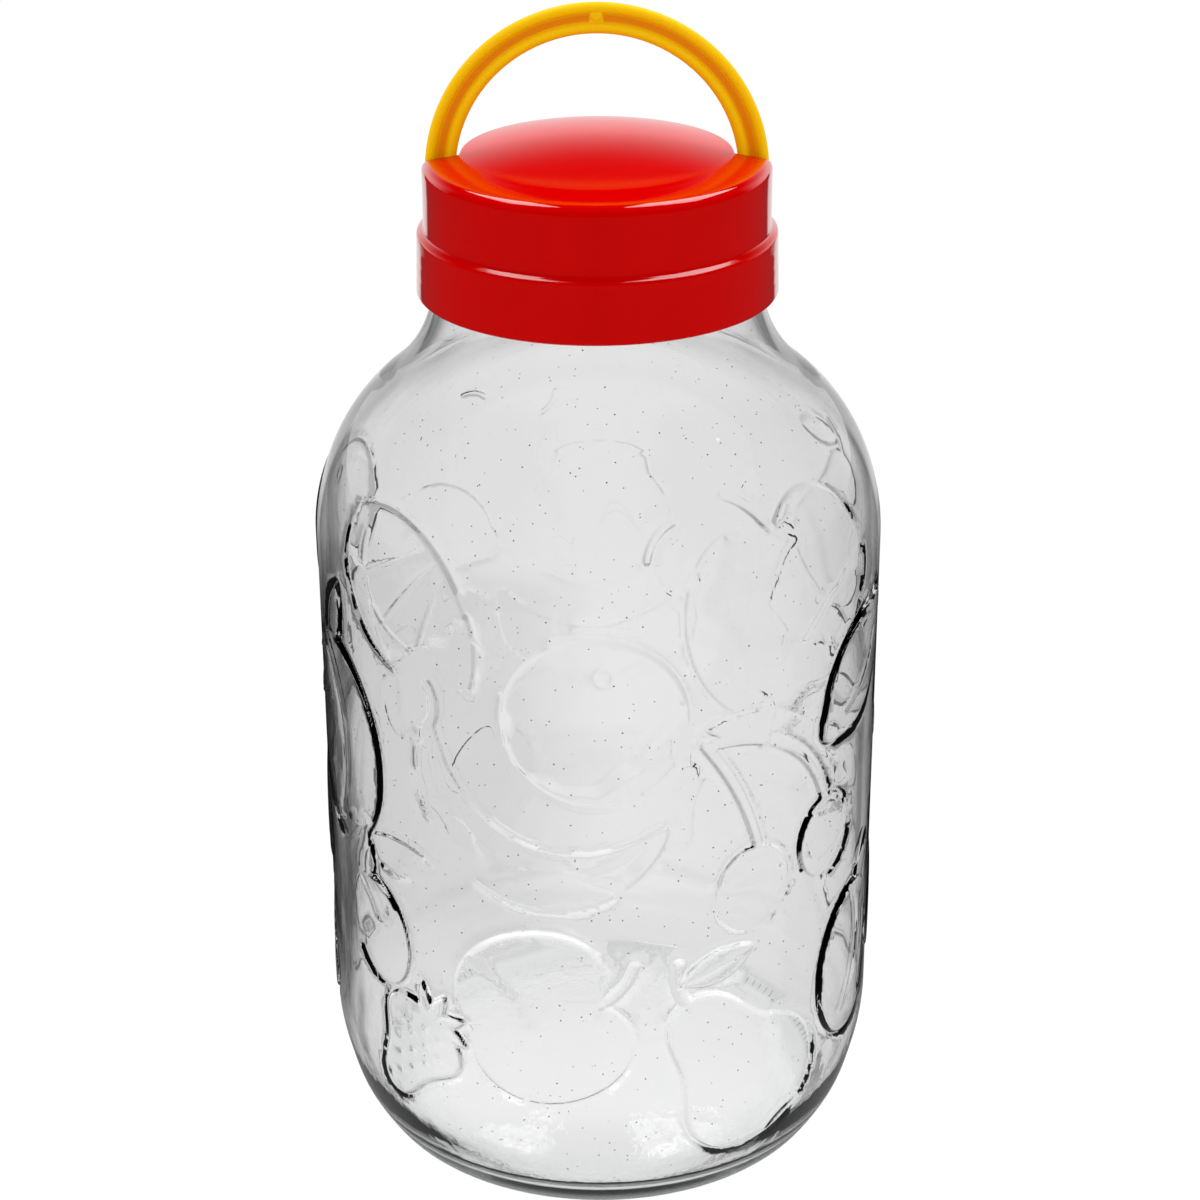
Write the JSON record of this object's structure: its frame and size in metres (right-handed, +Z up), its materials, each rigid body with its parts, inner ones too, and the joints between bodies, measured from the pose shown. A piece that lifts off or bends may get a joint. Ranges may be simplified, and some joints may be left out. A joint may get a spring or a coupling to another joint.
{
  "type": "liqueur jar",
  "caption": "Clear glass storage jar with rounded shoulders, a wide mouth, a stepped screw cap with a crowned top, and a bow handle that folds down into the cap.",
  "frame": {"origin": "centre of the ring that the jar stands on, at the bottom of the object", "axes": "+Z up along the axis of the jar, -Y to the front; the handle stands in the XZ plane at rest and folds back towards +Y"},
  "size_m": [0.172, 0.172, 0.3573],
  "materials": {
    "clear_glass": "clear, smooth, colourless soda-lime glass",
    "red_plastic": "glossy moulded red",
    "white_foam": "matt foamed sheet",
    "yellow_plastic": "satin gloss moulded yellow"
  },
  "bodies": {
    "jar": {"glass_jar": "clear_glass"},
    "liner": {"sealing_liner": "white_foam"},
    "cap": {"screw_cap": "red_plastic"},
    "handle": {"carrying_handle": "yellow_plastic"}
  },
  "joints": [
    {"name": "cap_lift", "type": "slide", "parent": "jar", "child": "liner", "axis": [0, 0, 1], "range_m": [0, 0.0295]},
    {"name": "cap_turn", "type": "hinge", "parent": "liner", "child": "cap", "pos_m": [0, 0, 0.2737], "axis": [0, 0, 1], "range_deg": [0, 1260]},
    {"name": "handle_fold", "type": "hinge", "parent": "cap", "child": "handle", "pos_m": [0, 0, 0.30774], "axis": [-1, 0, 0], "range_deg": [0, 90]}
  ],
  "couplings": [
    {"joint": "cap_lift", "follows": "cap_turn", "m_per_rad": 0.0013369}
  ]
}
